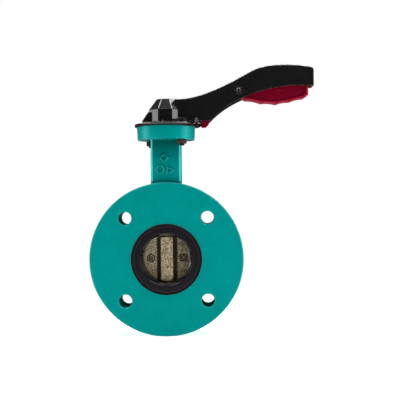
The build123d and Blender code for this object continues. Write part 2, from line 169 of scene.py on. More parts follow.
def makeDust():
    # a thin settled film on what looks up, in patches
    group, enter, leave = newGroup("dust", {"Amount": 0.3, "Scale": 90.0}, ["Mask"])
    place = addNode(group, "ShaderNodeTexCoord")
    facing = addNode(group, "ShaderNodeNewGeometry")
    apart = addNode(group, "ShaderNodeSeparateXYZ")
    join(group, facing, "Normal", apart, 0)
    upward = spanNode(group, "dustFacing")
    join(group, apart, "Z", upward, 0)
    noise = noiseAt(group, place, enter.outputs["Scale"], 5.0, 0.65)
    patchy = spanNode(group, "dustPatches")
    join(group, noise, "Fac", patchy, 0)
    layered = addNode(group, "ShaderNodeMath", operation="MULTIPLY")
    join(group, upward, 0, layered, 0)
    join(group, patchy, 0, layered, 1)
    mask = addNode(group, "ShaderNodeMath", operation="MULTIPLY", use_clamp=True)
    join(group, layered, 0, mask, 0)
    join(group, enter, "Amount", mask, 1)
    join(group, mask, 0, leave, "Mask")
    return group


def makeCreviceDirtAndShade():
    # 1 deep in corners and recesses of the same piece, 0 in the open: dirt on some finishes, painted shade on
    # the teal and red paint
    group, enter, leave = newGroup("creviceDirtAndShade", {"Reach": 0.003, "Amount": 0.6}, ["Mask"])
    hollow = addNode(group, "ShaderNodeAmbientOcclusion", samples=8, only_local=True)
    join(group, enter, "Reach", hollow, "Distance")
    deep = spanNode(group, "hollow")
    join(group, hollow, "AO", deep, 0)
    mask = addNode(group, "ShaderNodeMath", operation="MULTIPLY", use_clamp=True)
    join(group, deep, 0, mask, 0)
    join(group, enter, "Amount", mask, 1)
    join(group, mask, 0, leave, "Mask")
    return group


def makeSpan():
    # 1 where a value lies between two limits, with soft ends
    group, enter, leave = newGroup("span", {"Value": 0.0, "From": 0.0, "To": 1.0, "Soft": 0.0002}, ["Mask"])
    rises = addNode(group, "ShaderNodeMath", operation="SUBTRACT")
    join(group, enter, "Value", rises, 0)
    join(group, enter, "From", rises, 1)
    falls = addNode(group, "ShaderNodeMath", operation="SUBTRACT")
    join(group, enter, "To", falls, 0)
    join(group, enter, "Value", falls, 1)
    inside = addNode(group, "ShaderNodeMath", operation="MINIMUM")
    join(group, rises, 0, inside, 0)
    join(group, falls, 0, inside, 1)
    soft = addNode(group, "ShaderNodeMath", operation="DIVIDE", use_clamp=True)
    join(group, inside, 0, soft, 0)
    join(group, enter, "Soft", soft, 1)
    join(group, soft, 0, leave, "Mask")
    return group


castSkin = makeCastSkin()
edgeWearAndSheen = makeEdgeWearAndSheen()
dust = makeDust()
creviceDirtAndShade = makeCreviceDirtAndShade()
span = makeSpan()
print("shared effects ready")


# materials

def tint(tree, under, underSocket, mask, maskSocket, colour):
    # colour laid over what is under it, where the mask is 1
    mixed = addNode(tree, "ShaderNodeMix", {7: (*colour, 1)}, data_type="RGBA")
    join(tree, mask, maskSocket, mixed, 0)
    join(tree, under, underSocket, mixed, 6)
    return mixed


def lengthAcross(tree, keep):
    # distance from the origin along the axes kept, read in Object coordinates
    place = addNode(tree, "ShaderNodeTexCoord")
    flat = addNode(tree, "ShaderNodeVectorMath", {1: keep}, operation="MULTIPLY")
    join(tree, place, "Object", flat, 0)
    far = addNode(tree, "ShaderNodeVectorMath", operation="LENGTH")
    join(tree, flat, 0, far, 0)
    return far


def newFinish(name, finish):
    # starts a material: tone from the grain, worn edges with painted highlight, crevice dirt and painted
    # shade, and dust over it, roughness and bump
    material = bpy.data.materials.new(name)
    material.use_nodes = True
    tree = material.node_tree
    shader = tree.nodes["Principled BSDF"]
    skin = useGroup(tree, castSkin, {
        "Scale": finish["grainScale"], "Wave Scale": finish["waveScale"], "Wave Share": finish["waveShare"]})
    tones = addNode(tree, "ShaderNodeValToRGB")
    low, high = tones.color_ramp.elements
    low.position, high.position = finish["toneSpan"]
    low.color = (*finish["deep"], 1)
    high.color = (*finish["light"], 1)
    join(tree, skin, "Height", tones, "Fac")
    colour, socket = tones, "Color"
    if "crevice" in finish:
        dirtAndShade = useGroup(tree, creviceDirtAndShade, {"Reach": finish["creviceReach"], "Amount": finish["crevice"]})
        colour, socket = tint(tree, colour, socket, dirtAndShade, "Mask", finish["creviceColour"]), 2
    if "wearAndSheen" in finish:
        wearAndSheen = useGroup(tree, edgeWearAndSheen, {"Radius": finish["wearAndSheenRadius"], "Gain": finish["wearAndSheen"]})
        colour, socket = tint(tree, colour, socket, wearAndSheen, "Mask", finish["edge"]), 2
    if "dust" in finish:
        film = useGroup(tree, dust, {"Amount": finish["dust"]})
        colour, socket = tint(tree, colour, socket, film, "Mask", finish["dustColour"]), 2
    join(tree, colour, socket, shader, "Base Color")
    rough = spanNode(tree, "grain", low=finish["roughLow"], high=finish["roughHigh"])
    join(tree, skin, "Grain", rough, 0)
    join(tree, rough, 0, shader, "Roughness")
    bump = addNode(tree, "ShaderNodeBump", {"Strength": finish["bump"], "Distance": finish["bumpDepth"]})
    join(tree, skin, "Height", bump, "Height")
    join(tree, bump, "Normal", shader, "Normal")
    shader.inputs["Specular IOR Level"].default_value = finish.get("specular", 0.5)
    shader.inputs["Specular Tint"].default_value = (*finish.get("glint", (1, 1, 1)), 1)
    shader.inputs["Metallic"].default_value = finish.get("metallic", 0.0)
    shader.inputs["Coat Weight"].default_value = finish.get("coat", 0.0)
    shader.inputs["Coat Roughness"].default_value = finish.get("coatRough", 0.1)
    return material, tree, shader


def layOver(tree, shader, mask, maskSocket, colour):
    feeding = shader.inputs["Base Color"].links[0].from_socket
    mixed = addNode(tree, "ShaderNodeMix", {7: (*colour, 1)}, data_type="RGBA")
    tree.links.new(feeding, mixed.inputs[6])
    join(tree, mask, maskSocket, mixed, 0)
    join(tree, mixed, 2, shader, "Base Color")


def setRoughWhere(tree, shader, mask, maskSocket, value):
    feeding = shader.inputs["Roughness"].links[0].from_socket
    mixed = addNode(tree, "ShaderNodeMix", {3: value})
    tree.links.new(feeding, mixed.inputs[2])
    join(tree, mask, maskSocket, mixed, 0)
    join(tree, mixed, 0, shader, "Roughness")


tealPaint = {
    "deep": (0.0, 0.2, 0.186), "light": (0.0, 0.228, 0.216), "toneSpan": (0.35, 0.65),
    "grainScale": 520.0, "waveScale": 70.0, "waveShare": 0.55,
    # crevice: painted shade under the pad, down the neck and in the holes
    "crevice": 1.0, "creviceReach": 0.024, "creviceColour": (0.0, 0.06, 0.055),
    # edge: partly worn paint, partly painted highlight on the edges
    "wearAndSheen": 2.2, "wearAndSheenRadius": 0.0017, "edge": (0.06, 0.5, 0.48),
    "dust": 0.2, "dustColour": (0.2, 0.42, 0.4),
    "roughLow": 0.26, "roughHigh": 0.34, "bump": 0.2, "bumpDepth": 0.0003,
    "specular": 0.45, "glint": (0.03, 1.0, 0.97),
    # painted shadow of the pad on the upper neck
    "shelterZ": (0.1, 0.1285), "shelterReach": 0.0235, "shelterSoft": (0.0004, 0.0008),
    "padShadow": 0.85, "padShadowColour": (0.0, 0.055, 0.052),
    # painted highlight down the neck's corners
    "cornerNormal": (0.42, 0.93), "cornerSoft": 0.12, "neckFrom": 0.083, "neckSoft": 0.002,
    "cornerHighlightColour": (0.05, 0.47, 0.45),
    # hole walls lighter than the face: painted light in the holes
    "drillRing": (0.05, 0.076), "drillSoft": 0.0002, "wallNormal": 0.6, "wallSoft": 0.1,
    "wallColour": (0.0, 0.24, 0.22), "wallRough": 0.85,
}
blackPaint = {
    "deep": (0.0035, 0.0032, 0.0035), "light": (0.0065, 0.006, 0.0065), "toneSpan": (0.35, 0.65),
    "grainScale": 1500.0, "waveScale": 120.0, "waveShare": 0.2,
    # edge: partly worn paint, partly painted highlight on the edges and crest
    "wearAndSheen": 2.0, "wearAndSheenRadius": 0.001, "edge": (0.2, 0.195, 0.18),
    "dust": 0.05, "dustColour": (0.1, 0.1, 0.095),
    "roughLow": 0.2, "roughHigh": 0.28, "bump": 0.1, "bumpDepth": 0.00006,
    "coat": 0.4, "coatRough": 0.12,
    # painted highlight along the arm's upper edges
    "armFrom": 0.034, "armSoft": 0.012, "turnedUp": 0.32, "upSoft": 0.1,
    "turnedOut": (0.3, 0.93), "outSoft": 0.12,
    "highlightPatchScale": 160.0, "highlightLeast": 0.45, "crestHighlightColour": (0.2, 0.195, 0.17),
}
redPaint = {
    "deep": (0.2, 0.001, 0.014), "light": (0.27, 0.002, 0.02), "toneSpan": (0.3, 0.7),
    "grainScale": 1400.0, "waveScale": 110.0, "waveShare": 0.2,
    # crevice: painted shade in the recess
    "crevice": 0.95, "creviceReach": 0.006, "creviceColour": (0.07, 0.0004, 0.005),
    "wearAndSheen": 1.0, "wearAndSheenRadius": 0.0009, "edge": (0.5, 0.008, 0.04),
    "roughLow": 0.26, "roughHigh": 0.36, "bump": 0.15, "bumpDepth": 0.0001,
    "specular": 0.3, "glint": (1.0, 0.25, 0.35),
    # painted shade on the flat floor of the recess
    "recessY": 0.0079, "recessNormal": 0.75, "recessSoft": 0.0003, "recessShadeColour": (0.14, 0.0006, 0.0105),
}
blackRubber = {
    "deep": (0.006, 0.0057, 0.0085), "light": (0.009, 0.0086, 0.0122), "toneSpan": (0.35, 0.65),
    "grainScale": 1700.0, "waveScale": 200.0, "waveShare": 0.3,
    "crevice": 0.6, "creviceReach": 0.002, "creviceColour": (0.003, 0.003, 0.0035),
    "dust": 0.1, "dustColour": (0.1, 0.1, 0.1),
    "roughLow": 0.11, "roughHigh": 0.18, "bump": 0.1, "bumpDepth": 0.00005,
    "specular": 0.35,
}
whitePlastic = {
    "deep": (0.62, 0.61, 0.57), "light": (0.75, 0.74, 0.7), "toneSpan": (0.3, 0.7),
    "grainScale": 1800.0, "waveScale": 200.0, "waveShare": 0.3,
    "roughLow": 0.4, "roughHigh": 0.55, "bump": 0.15, "bumpDepth": 0.0001,
}
castBronze = {
    "deep": (0.15, 0.108, 0.045), "light": (0.82, 0.71, 0.46), "toneSpan": (0.42, 0.6),
    "grainScale": 780.0, "waveScale": 1500.0, "waveShare": 0.3,
    "crevice": 0.85, "creviceReach": 0.002, "creviceColour": (0.03, 0.02, 0.01),
    "wearAndSheen": 1.6, "wearAndSheenRadius": 0.0006, "edge": (0.66, 0.58, 0.44),
    "roughLow": 0.4, "roughHigh": 0.6, "bump": 0.8, "bumpDepth": 0.0004,
    "metallic": 0.4,
}
turnedSteel = {
    "deep": (0.4, 0.4, 0.39), "light": (0.6, 0.6, 0.59), "toneSpan": (0.3, 0.7),
    "grainScale": 2000.0, "waveScale": 300.0, "waveShare": 0.4,
    "wearAndSheen": 1.0, "wearAndSheenRadius": 0.0004, "edge": (0.75, 0.75, 0.74),
    "roughLow": 0.22, "roughHigh": 0.36, "bump": 0.15, "bumpDepth": 0.0001,
    "metallic": 1.0,
}
zincCoat = {
    "deep": (0.16, 0.155, 0.158), "light": (0.3, 0.29, 0.293), "toneSpan": (0.3, 0.7),
    "grainScale": 900.0, "waveScale": 240.0, "waveShare": 0.5,
    "wearAndSheen": 1.0, "wearAndSheenRadius": 0.0004, "edge": (0.85, 0.83, 0.83),
    "roughLow": 0.4, "roughHigh": 0.56, "bump": 0.2, "bumpDepth": 0.0001,
    "metallic": 0.9,
    "edgeFrom": 0.0320, "edgeSoft": 0.0006,
    "brownTo": 0.1437, "brownClimb": 2.4, "brownSoft": 0.0003, "brownRough": 0.7,
    "brown": (0.03, 0.02, 0.017),
}
darkSteel = {
    "deep": (0.012, 0.012, 0.013), "light": (0.035, 0.035, 0.037), "toneSpan": (0.3, 0.7),
    "grainScale": 1500.0, "waveScale": 260.0, "waveShare": 0.4,
    "wearAndSheen": 1.5, "wearAndSheenRadius": 0.0003, "edge": (0.2, 0.2, 0.2),
    "roughLow": 0.3, "roughHigh": 0.45, "bump": 0.25, "bumpDepth": 0.0001,
    "metallic": 0.7,
}
rustySteel = {
    "blackSide": -0.01, "blackSoft": 0.001, "blackened": (0.012, 0.011, 0.011),
    "deep": (0.022, 0.009, 0.006), "light": (0.1, 0.045, 0.03), "toneSpan": (0.35, 0.65),
    "grainScale": 900.0, "waveScale": 300.0, "waveShare": 0.5,
    "wearAndSheen": 1.2, "wearAndSheenRadius": 0.0004, "edge": (0.3, 0.2, 0.15),
    "roughLow": 0.5, "roughHigh": 0.8, "bump": 0.5, "bumpDepth": 0.0002,
    "metallic": 0.45,
}
springWire = {
    "deep": (0.22, 0.22, 0.23), "light": (0.38, 0.38, 0.38), "toneSpan": (0.3, 0.7),
    "grainScale": 2000.0, "waveScale": 300.0, "waveShare": 0.4,
    "roughLow": 0.25, "roughHigh": 0.4, "bump": 0.15, "bumpDepth": 0.0001,
    "metallic": 1.0,
}


pinSteel = dict(turnedSteel)
pinSteel.update({
    "deep": (0.1, 0.1, 0.11), "light": (0.2, 0.2, 0.22), "edge": (0.3, 0.3, 0.31), "roughLow": 0.35,
})


noLimit = -1.0, 2.0        # past either end of any value masked here


def objectAxes(tree, output="Object"):
    place = addNode(tree, "ShaderNodeTexCoord")
    apart = addNode(tree, "ShaderNodeSeparateXYZ")
    join(tree, place, output, apart, 0)
    return apart


def sizeOf(tree, node, socket):
    # the value without its sign
    size = addNode(tree, "ShaderNodeMath", operation="ABSOLUTE")
    join(tree, node, socket, size, 0)
    return size


def between(tree, node, socket, low, high, soft):
    # 1 where the value lies between low and high
    mask = useGroup(tree, span, {"From": low, "To": high, "Soft": soft})
    join(tree, node, socket, mask, "Value")
    return mask, "Mask"


def overlap(tree, *masks):
    # 1 only where all the masks are 1
    mask = masks[0]
    for layer in masks[1:]:
        both = addNode(tree, "ShaderNodeMath", operation="MULTIPLY")
        join(tree, *mask, both, 0)
        join(tree, *layer, both, 1)
        mask = both, 0
    return mask


def makeTealPaint(finish):
    # painted shadow of the pad above, darkening the top of the neck
    material, tree, shader = newFinish("tealEpoxy", finish)
    low, high = finish["shelterZ"]
    place = objectAxes(tree)
    climb = addNode(tree, "ShaderNodeMapRange", {1: low, 2: high, 4: finish["padShadow"]})
    join(tree, place, "Z", climb, 0)
    under = between(tree, place, "Z", noLimit[0], high, finish["shelterSoft"][0])
    aside = lengthAcross(tree, (1, 1, 0))
    column = between(tree, aside, "Value", noLimit[0], finish["shelterReach"], finish["shelterSoft"][1])
    layOver(tree, shader, *overlap(tree, under, column, (climb, 0)), finish["padShadowColour"])
    # the walls of the drilled holes are painted too, and matt, in a teal a little lighter than the face:
    # painted light in the shaded holes
    far = lengthAcross(tree, (1, 0, 1))
    ring = between(tree, far, "Value", *finish["drillRing"], finish["drillSoft"])
    along = sizeOf(tree, objectAxes(tree, "Normal"), "Y")
    wall = between(tree, along, 0, noLimit[0], finish["wallNormal"], finish["wallSoft"])
    drilled = overlap(tree, ring, wall)
    layOver(tree, shader, *drilled, finish["wallColour"])
    setRoughWhere(tree, shader, *drilled, finish["wallRough"])
    # painted highlight down the corners of the neck
    turned = sizeOf(tree, objectAxes(tree, "Normal"), "X")
    corner = between(tree, turned, 0, *finish["cornerNormal"], finish["cornerSoft"])
    tall = between(tree, place, "Z", finish["neckFrom"], noLimit[1], finish["neckSoft"])
    layOver(tree, shader, *overlap(tree, under, column, corner, tall), finish["cornerHighlightColour"])
    return material


def makeLeverBlack(finish):
    # painted highlight along the two long upper edges of the arm, in patches
    material, tree, shader = newFinish("leverBlack", finish)
    facing = objectAxes(tree, "Normal")
    outward = between(tree, sizeOf(tree, facing, "Y"), 0, *finish["turnedOut"], finish["outSoft"])
    upward = between(tree, facing, "Z", finish["turnedUp"], noLimit[1], finish["upSoft"])
    arm = between(tree, objectAxes(tree), "X", finish["armFrom"], noLimit[1], finish["armSoft"])
    blot = noiseAt(tree, addNode(tree, "ShaderNodeTexCoord"), finish["highlightPatchScale"], 4.0, 0.6)
    patchy = addNode(tree, "ShaderNodeMapRange", {1: 0.3, 2: 0.6, 3: finish["highlightLeast"]})
    join(tree, blot, "Fac", patchy, 0)
    layOver(tree, shader, *overlap(tree, outward, upward, arm, (patchy, 0)), finish["crestHighlightColour"])
    return material


def makeTriggerRed(finish):
    # painted shade: the flat floor of the recess on each side is darker than the rim
    material, tree, shader = newFinish("triggerRed", finish)
    place = sizeOf(tree, objectAxes(tree), "Y")
    facing = sizeOf(tree, objectAxes(tree, "Normal"), "Y")
    deep = between(tree, place, 0, noLimit[0], finish["recessY"], finish["recessSoft"])
    flat = between(tree, facing, 0, finish["recessNormal"], noLimit[1], finish["recessSoft"])
    layOver(tree, shader, *overlap(tree, deep, flat), finish["recessShadeColour"])
    return material


def makeNutSteel(finish):
    # the nut in front has rusted and the one behind is still black
    material, tree, shader = newFinish("rustySteel", finish)
    behind = between(tree, objectAxes(tree), "X", noLimit[0], finish["blackSide"], finish["blackSoft"])
    layOver(tree, shader, *behind, finish["blackened"])
    return material


def makeZinc(finish):
    # the lower band of the plate's outer edge is dark brown, and the band climbs higher towards its sides
    material, tree, shader = newFinish("zincCoat", finish)
    place = objectAxes(tree)
    lowerBand = between(tree, place, "Z", noLimit[0], noLimit[1], finish["brownSoft"])
    squared = addNode(tree, "ShaderNodeMath", {1: 2.0}, operation="POWER")
    join(tree, sizeOf(tree, place, "X"), 0, squared, 0)
    climb = addNode(
        tree, "ShaderNodeMath", {1: finish["brownClimb"], 2: finish["brownTo"]}, operation="MULTIPLY_ADD")
    join(tree, squared, 0, climb, 0)
    join(tree, climb, 0, lowerBand[0], "To")
    rim = between(
        tree, lengthAcross(tree, (1, 1, 0)), "Value", finish["edgeFrom"], noLimit[1], finish["edgeSoft"])
    brown = overlap(tree, lowerBand, rim)
    layOver(tree, shader, *brown, finish["brown"])
    setRoughWhere(tree, shader, *brown, finish["brownRough"])
    return material


seatRubber = dict(blackRubber)
seatRubber.update({
    # painted shade in the gap where the lip meets the body
    "gapFrom": 0.0358, "gapSoft": 0.0005, "gapRough": 0.8, "gapShadeColour": (0.0015, 0.0015, 0.0015),
    "flashRadii": (0.0343, 0.0351), "flashSoft": 0.0002, "flashColour": (0.036, 0.012, 0.018),
})


def makeSeatRubber(finish):
    # painted shade at the gap where the lip meets the body, and a thin moulding line inside it
    material, tree, shader = newFinish("seatRubber", finish)
    far = lengthAcross(tree, (1, 0, 1))
    seam = between(tree, far, "Value", finish["gapFrom"], noLimit[1], finish["gapSoft"])
    layOver(tree, shader, *seam, finish["gapShadeColour"])
    setRoughWhere(tree, shader, *seam, finish["gapRough"])
    line = between(tree, far, "Value", *finish["flashRadii"], finish["flashSoft"])
    layOver(tree, shader, *line, finish["flashColour"])
    return material


discBronze = dict(castBronze)
discBronze.update({
    # painted shade on the hub's flanks
    "flankSpan": (0.0062, 0.0116), "flankSoft": 0.0006, "flankShadeColour": (0.055, 0.038, 0.018),
    # painted shade on one wing
    "wingShadeFrom": 0.008, "wingShadeSoft": 0.008, "wingShadePatchScale": 220.0, "wingShade": 0.9,
    "wingShadeColour": (0.11, 0.08, 0.05),
    "markAt": 0.0177, "markReach": 0.0062, "markSoft": 0.0004,
    "markProud": 0.0033, "proudSoft": 0.0002, "markColour": (0.05, 0.035, 0.018),
    "rimFrom": 0.0247, "rimSoft": 0.0003, "rimColour": (0.62, 0.55, 0.42), "rimRough": 0.22,
})


def makeDiscBronze(finish):
    # sand cast, with painted shade on the flanks beside the hub, and a machined rim
    material, tree, shader = newFinish("discBronze", finish)
    flank = between(tree, lengthAcross(tree, (1, 0, 0)), "Value", *finish["flankSpan"], finish["flankSoft"])
    layOver(tree, shader, *flank, finish["flankShadeColour"])
    # the raised marks, which stand a set distance to each side, are coloured dark
    place = objectAxes(tree)
    offset = addNode(tree, "ShaderNodeMath", {1: finish["markAt"]}, operation="SUBTRACT")
    join(tree, sizeOf(tree, place, "X"), 0, offset, 0)
    around = addNode(tree, "ShaderNodeCombineXYZ")
    join(tree, offset, 0, around, "X")
    join(tree, place, "Z", around, "Z")
    away = addNode(tree, "ShaderNodeVectorMath", operation="LENGTH")
    join(tree, around, 0, away, 0)
    near = between(tree, away, "Value", noLimit[0], finish["markReach"], finish["markSoft"])
    front = addNode(tree, "ShaderNodeMath", {1: -1.0}, operation="MULTIPLY")
    join(tree, place, "Y", front, 0)
    proud = between(tree, front, 0, finish["markProud"], noLimit[1], finish["proudSoft"])
    layOver(tree, shader, *overlap(tree, near, proud), finish["markColour"])
    # painted shade on one wing, in patches
    side = between(tree, place, "X", finish["wingShadeFrom"], noLimit[1], finish["wingShadeSoft"])
    blot = noiseAt(tree, addNode(tree, "ShaderNodeTexCoord"), finish["wingShadePatchScale"], 4.0, 0.6)
    patchy = addNode(tree, "ShaderNodeMapRange", {1: 0.3, 2: 0.62, 4: finish["wingShade"]})
    join(tree, blot, "Fac", patchy, 0)
    layOver(tree, shader, *overlap(tree, side, (patchy, 0)), finish["wingShadeColour"])
    far = lengthAcross(tree, (1, 0, 1))
    rim = between(tree, far, "Value", finish["rimFrom"], noLimit[1], finish["rimSoft"])
    layOver(tree, shader, *rim, finish["rimColour"])
    setRoughWhere(tree, shader, *rim, finish["rimRough"])
    return material


finishes = {
    "body_paint": makeTealPaint(tealPaint),
    "seat_rubber": makeSeatRubber(seatRubber),
    "disc_bronze": makeDiscBronze(discBronze),
    "stem_steel": newFinish("turnedSteel", turnedSteel)[0],
    "bush_plastic": newFinish("bushPlastic", whitePlastic)[0],
    "ring_rubber": newFinish("ringRubber", blackRubber)[0],
    "spring_steel": newFinish("springWire", springWire)[0],
    "zinc_plate": makeZinc(zincCoat),
    "black_steel": newFinish("darkSteel", darkSteel)[0],
    "brown_steel": makeNutSteel(rustySteel),
    "lever_black": makeLeverBlack(blackPaint),
    "pin_steel": newFinish("pinSteel", pinSteel)[0],
    "trigger_red": makeTriggerRed(redPaint),
}
for part in frame["record"]["subparts"]:
    mesh = nodes[part["node"]].data
    mesh.materials.clear()
    mesh.materials.append(finishes[part["material_slot"]])
print("materials: %d finishes on the CAD nodes" % len(finishes))


# modelling helpers

def alone(piece):
    # only this piece is selected and active
    bpy.ops.object.select_all(action="DESELECT")
    piece.select_set(True)
    bpy.context.view_layer.objects.active = piece


def pick(piece, kind, test):
    # in edit mode, selects only the faces or edges that pass the test
    bpy.ops.mesh.select_mode(type=kind)
    bpy.ops.mesh.select_all(action="DESELECT")
    shape = bmesh.from_edit_mesh(piece.data)
    for part in (shape.faces if kind == "FACE" else shape.edges):
        part.select_set(bool(test(part)))
    bmesh.update_edit_mesh(piece.data)


def applyModifier(piece, kind, **settings):
    alone(piece)
    modifier = piece.modifiers.new(kind.lower(), kind)
    for name, setting in settings.items():
        setattr(modifier, name, setting)
    bpy.ops.object.modifier_apply(modifier=modifier.name)


def cutWith(piece, cutter, operation):
    applyModifier(piece, "BOOLEAN", object=cutter, operation=operation, solver="EXACT")
    bpy.data.objects.remove(cutter)


def tidyMesh(piece, merge=0.00001):
    alone(piece)
    bpy.ops.object.transform_apply(location=True, rotation=True, scale=True)
    bpy.ops.object.mode_set(mode="EDIT")
    bpy.ops.mesh.select_all(action="SELECT")
    bpy.ops.mesh.remove_doubles(threshold=merge)
    bpy.ops.mesh.normals_make_consistent(inside=False)
    bpy.ops.object.mode_set(mode="OBJECT")


def joined(parts):
    bpy.ops.object.select_all(action="DESELECT")
    for part in parts:
        part.select_set(True)
    bpy.context.view_layer.objects.active = parts[0]
    bpy.ops.object.join()
    return bpy.context.object


def copied(piece):
    twin = piece.copy()
    twin.data = piece.data.copy()
    bpy.context.scene.collection.objects.link(twin)
    return twin


def finishPiece(piece, name, body, slotName, smooth=35):
    # settles the mesh in place, gives it its finish and says what it moves with
    tidyMesh(piece)
    bpy.ops.object.shade_smooth_by_angle(angle=math.radians(smooth))
    piece.name = name
    piece.data.name = name
    piece.data.materials.clear()
    piece.data.materials.append(finishes[slotName])
    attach(piece, body)
    return piece


def raisedRing(mark, wallY, rise):
    # a flat ring of any number of sides, standing off a wall towards -Y
    bpy.ops.object.select_all(action="DESELECT")
    bpy.ops.mesh.primitive_circle_add(
        vertices=mark["sides"], radius=mark["radius"], fill_type="NGON",
        location=(mark["x"], wallY, mark["z"]), rotation=(math.radians(90), math.radians(mark["turn"]), 0))
    ring = bpy.context.object
    bpy.ops.object.mode_set(mode="EDIT")
    bpy.ops.mesh.select_mode(type="FACE")
    bpy.ops.mesh.select_all(action="SELECT")
    bpy.ops.mesh.inset(thickness=mark["width"])
    bpy.ops.mesh.delete(type="FACE")
    bpy.ops.mesh.select_all(action="SELECT")
    bpy.ops.mesh.extrude_region_move(TRANSFORM_OT_translate={"value": (0, -rise, 0)})
    bpy.ops.object.mode_set(mode="OBJECT")
    tidyMesh(ring)
    return ring


# raised foundry marks on the neck: plain shapes

neckMarks = {
    "wallY": -0.0126, "rise": 0.0023, "softEdge": 0.0003,
    "rings": (
        {"sides": 4, "radius": 0.0049, "width": 0.0013, "x": -0.0019, "z": 0.1088, "turn": 0},
        {"sides": 24, "radius": 0.0046, "width": 0.0013, "x": -0.0062, "z": 0.0962, "turn": 0},
        {"sides": 3, "radius": 0.0056, "width": 0.0013, "x": 0.0036, "z": 0.0952, "turn": 90},
    ),
}


def modelNeckMarks(look):
    rings = [raisedRing(mark, look["wallY"], look["rise"]) for mark in look["rings"]]
    marks = joined(rings)
    applyModifier(marks, "BEVEL", width=look["softEdge"], segments=2, limit_method="ANGLE")
    return finishPiece(marks, "neckMarks", "body", "body_paint", 60)


modelNeckMarks(neckMarks)
print("neck marks done")


# disc: a sand casting with plain marks on its wings

discCast = {
    "wallY": -0.0027, "rise": 0.0011,
    "marks": (
        {"sides": 20, "radius": 0.0044, "width": 0.001, "x": -0.0176, "z": 0.0004, "turn": 0},
        {"sides": 4, "radius": 0.0026, "width": 0.0009, "x": -0.0176, "z": 0.0004, "turn": 45},
        {"sides": 4, "radius": 0.0056, "width": 0.001, "x": 0.0178, "z": 0.0006, "turn": 45},
        {"sides": 12, "radius": 0.0024, "width": 0.0009, "x": 0.0178, "z": 0.0006, "turn": 0},
    ),
    "voxel": 0.00042, "roughFrom": 0.0246,
    "sandScale": 0.0009, "sandDepth": 0.00034,
}


def modelDisc(look):
    disc = copied(nodes["disc"])
    disc.parent = None
    alone(disc)
    bpy.ops.mesh.customdata_custom_splitnormals_clear()
    tidyMesh(disc)
    marks = [raisedRing(mark, look["wallY"], look["rise"]) for mark in look["marks"]]
    disc = joined([disc] + marks)
    applyModifier(disc, "REMESH", mode="VOXEL", voxel_size=look["voxel"])
    cast = disc.vertex_groups.new(name="cast")
    inner = [v.index for v in disc.data.vertices if math.hypot(v.co.x, v.co.z) < look["roughFrom"]]
    cast.add(inner, 1.0, "REPLACE")
    sand = bpy.data.textures.new("sand", "CLOUDS")
    sand.noise_scale = look["sandScale"]
    sand.noise_depth = 2
    applyModifier(
        disc, "DISPLACE", texture=sand, texture_coords="LOCAL", strength=look["sandDepth"],
        mid_level=0.5, vertex_group="cast")
    finishPiece(disc, "discCasting", "turning", "disc_bronze", 60)
    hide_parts("disc")
    return disc


modelDisc(discCast)
print("disc done")


# plate bolts and nuts: chamfered hexagons with threads

hexHead = {"flats": 0.010, "chamferAt": 0.93, "slope": 30.0, "coneShare": 0.9, "softEdge": 0.00015}
plateBolts = {
    "places": ((0.0176777, -0.0176777), (-0.0176777, 0.0176777)), "turns": (0, 30),
    "headFrom": 0.147, "headHigh": 0.004, "shankRadius": 0.003,
    "threadFrom": 0.1275, "end": 0.1216, "pitch": 0.001, "threadDeep": 0.0004, "endScale": 0.85,
}
plateNuts = {"low": 0.1235, "high": 0.1285, "turns": (30, 30), "hole": 0.00305, "drill": 0.02}


def hexBlock(low, high, both):
    # a hexagon whose corners are chamfered by a cone, above or on both faces
    height = high - low
    middle = (low + high) / 2
    bpy.ops.object.select_all(action="DESELECT")
    bpy.ops.mesh.primitive_cylinder_add(
        vertices=6, radius=hexHead["flats"] / math.sqrt(3), depth=height, location=(0, 0, middle),
        rotation=(0, 0, math.radians(30)))
    block = bpy.context.object
    tidyMesh(block)
    flat = hexHead["flats"] / 2 * hexHead["chamferAt"]
    reach = height * hexHead["coneShare"]
    wide = flat + reach / math.tan(math.radians(hexHead["slope"]))
    cones = [(high - reach / 2, wide, flat)]
    if both:
        cones.append((low + reach / 2, flat, wide))
    for at, below, above in cones:
        bpy.ops.object.select_all(action="DESELECT")
        bpy.ops.mesh.primitive_cone_add(
            vertices=48, radius1=below, radius2=above, depth=reach, location=(0, 0, at))
        cone = bpy.context.object
        # a skirt past the cone's wide end keeps the rest of the block
        outward = -1 if at > middle else 1
        bpy.ops.object.mode_set(mode="EDIT")
        pick(cone, "FACE", lambda face: face.normal.z * outward > 0.9)
        bpy.ops.mesh.extrude_region_move(TRANSFORM_OT_translate={"value": (0, 0, outward * height)})
        bpy.ops.object.mode_set(mode="OBJECT")
        tidyMesh(cone)
        cutWith(block, cone, "INTERSECT")
        tidyMesh(block)
    applyModifier(
        block, "BEVEL", width=hexHead["softEdge"], segments=2, limit_method="ANGLE",
        angle_limit=math.radians(25))
    tidyMesh(block)
    return block


def threadedShank(look):
    # drawn down step by step, in and out at every half pitch
    bpy.ops.object.select_all(action="DESELECT")
    bpy.ops.mesh.primitive_circle_add(
        vertices=32, radius=look["shankRadius"], fill_type="NGON", location=(0, 0, look["headFrom"]))
    shank = bpy.context.object
    bpy.ops.object.mode_set(mode="EDIT")
    bpy.ops.mesh.select_all(action="SELECT")
    at = look["headFrom"]
    steps = [(look["threadFrom"], 1.0)]
    root = 1 - look["threadDeep"] / look["shankRadius"]
    while steps[-1][0] - look["pitch"] > look["end"]:
        level = steps[-1][0] - look["pitch"] / 2
        steps.append((level, root))
        steps.append((level - look["pitch"] / 2, 1 / root))
    steps.append((look["end"], look["endScale"]))
    for level, scale in steps:
        bpy.ops.mesh.extrude_region_move(TRANSFORM_OT_translate={"value": (0, 0, level - at)})
        bpy.ops.transform.resize(value=(scale, scale, 1), center_override=(0, 0, level))
        at = level
    bpy.ops.object.mode_set(mode="OBJECT")
    tidyMesh(shank)
    return shank


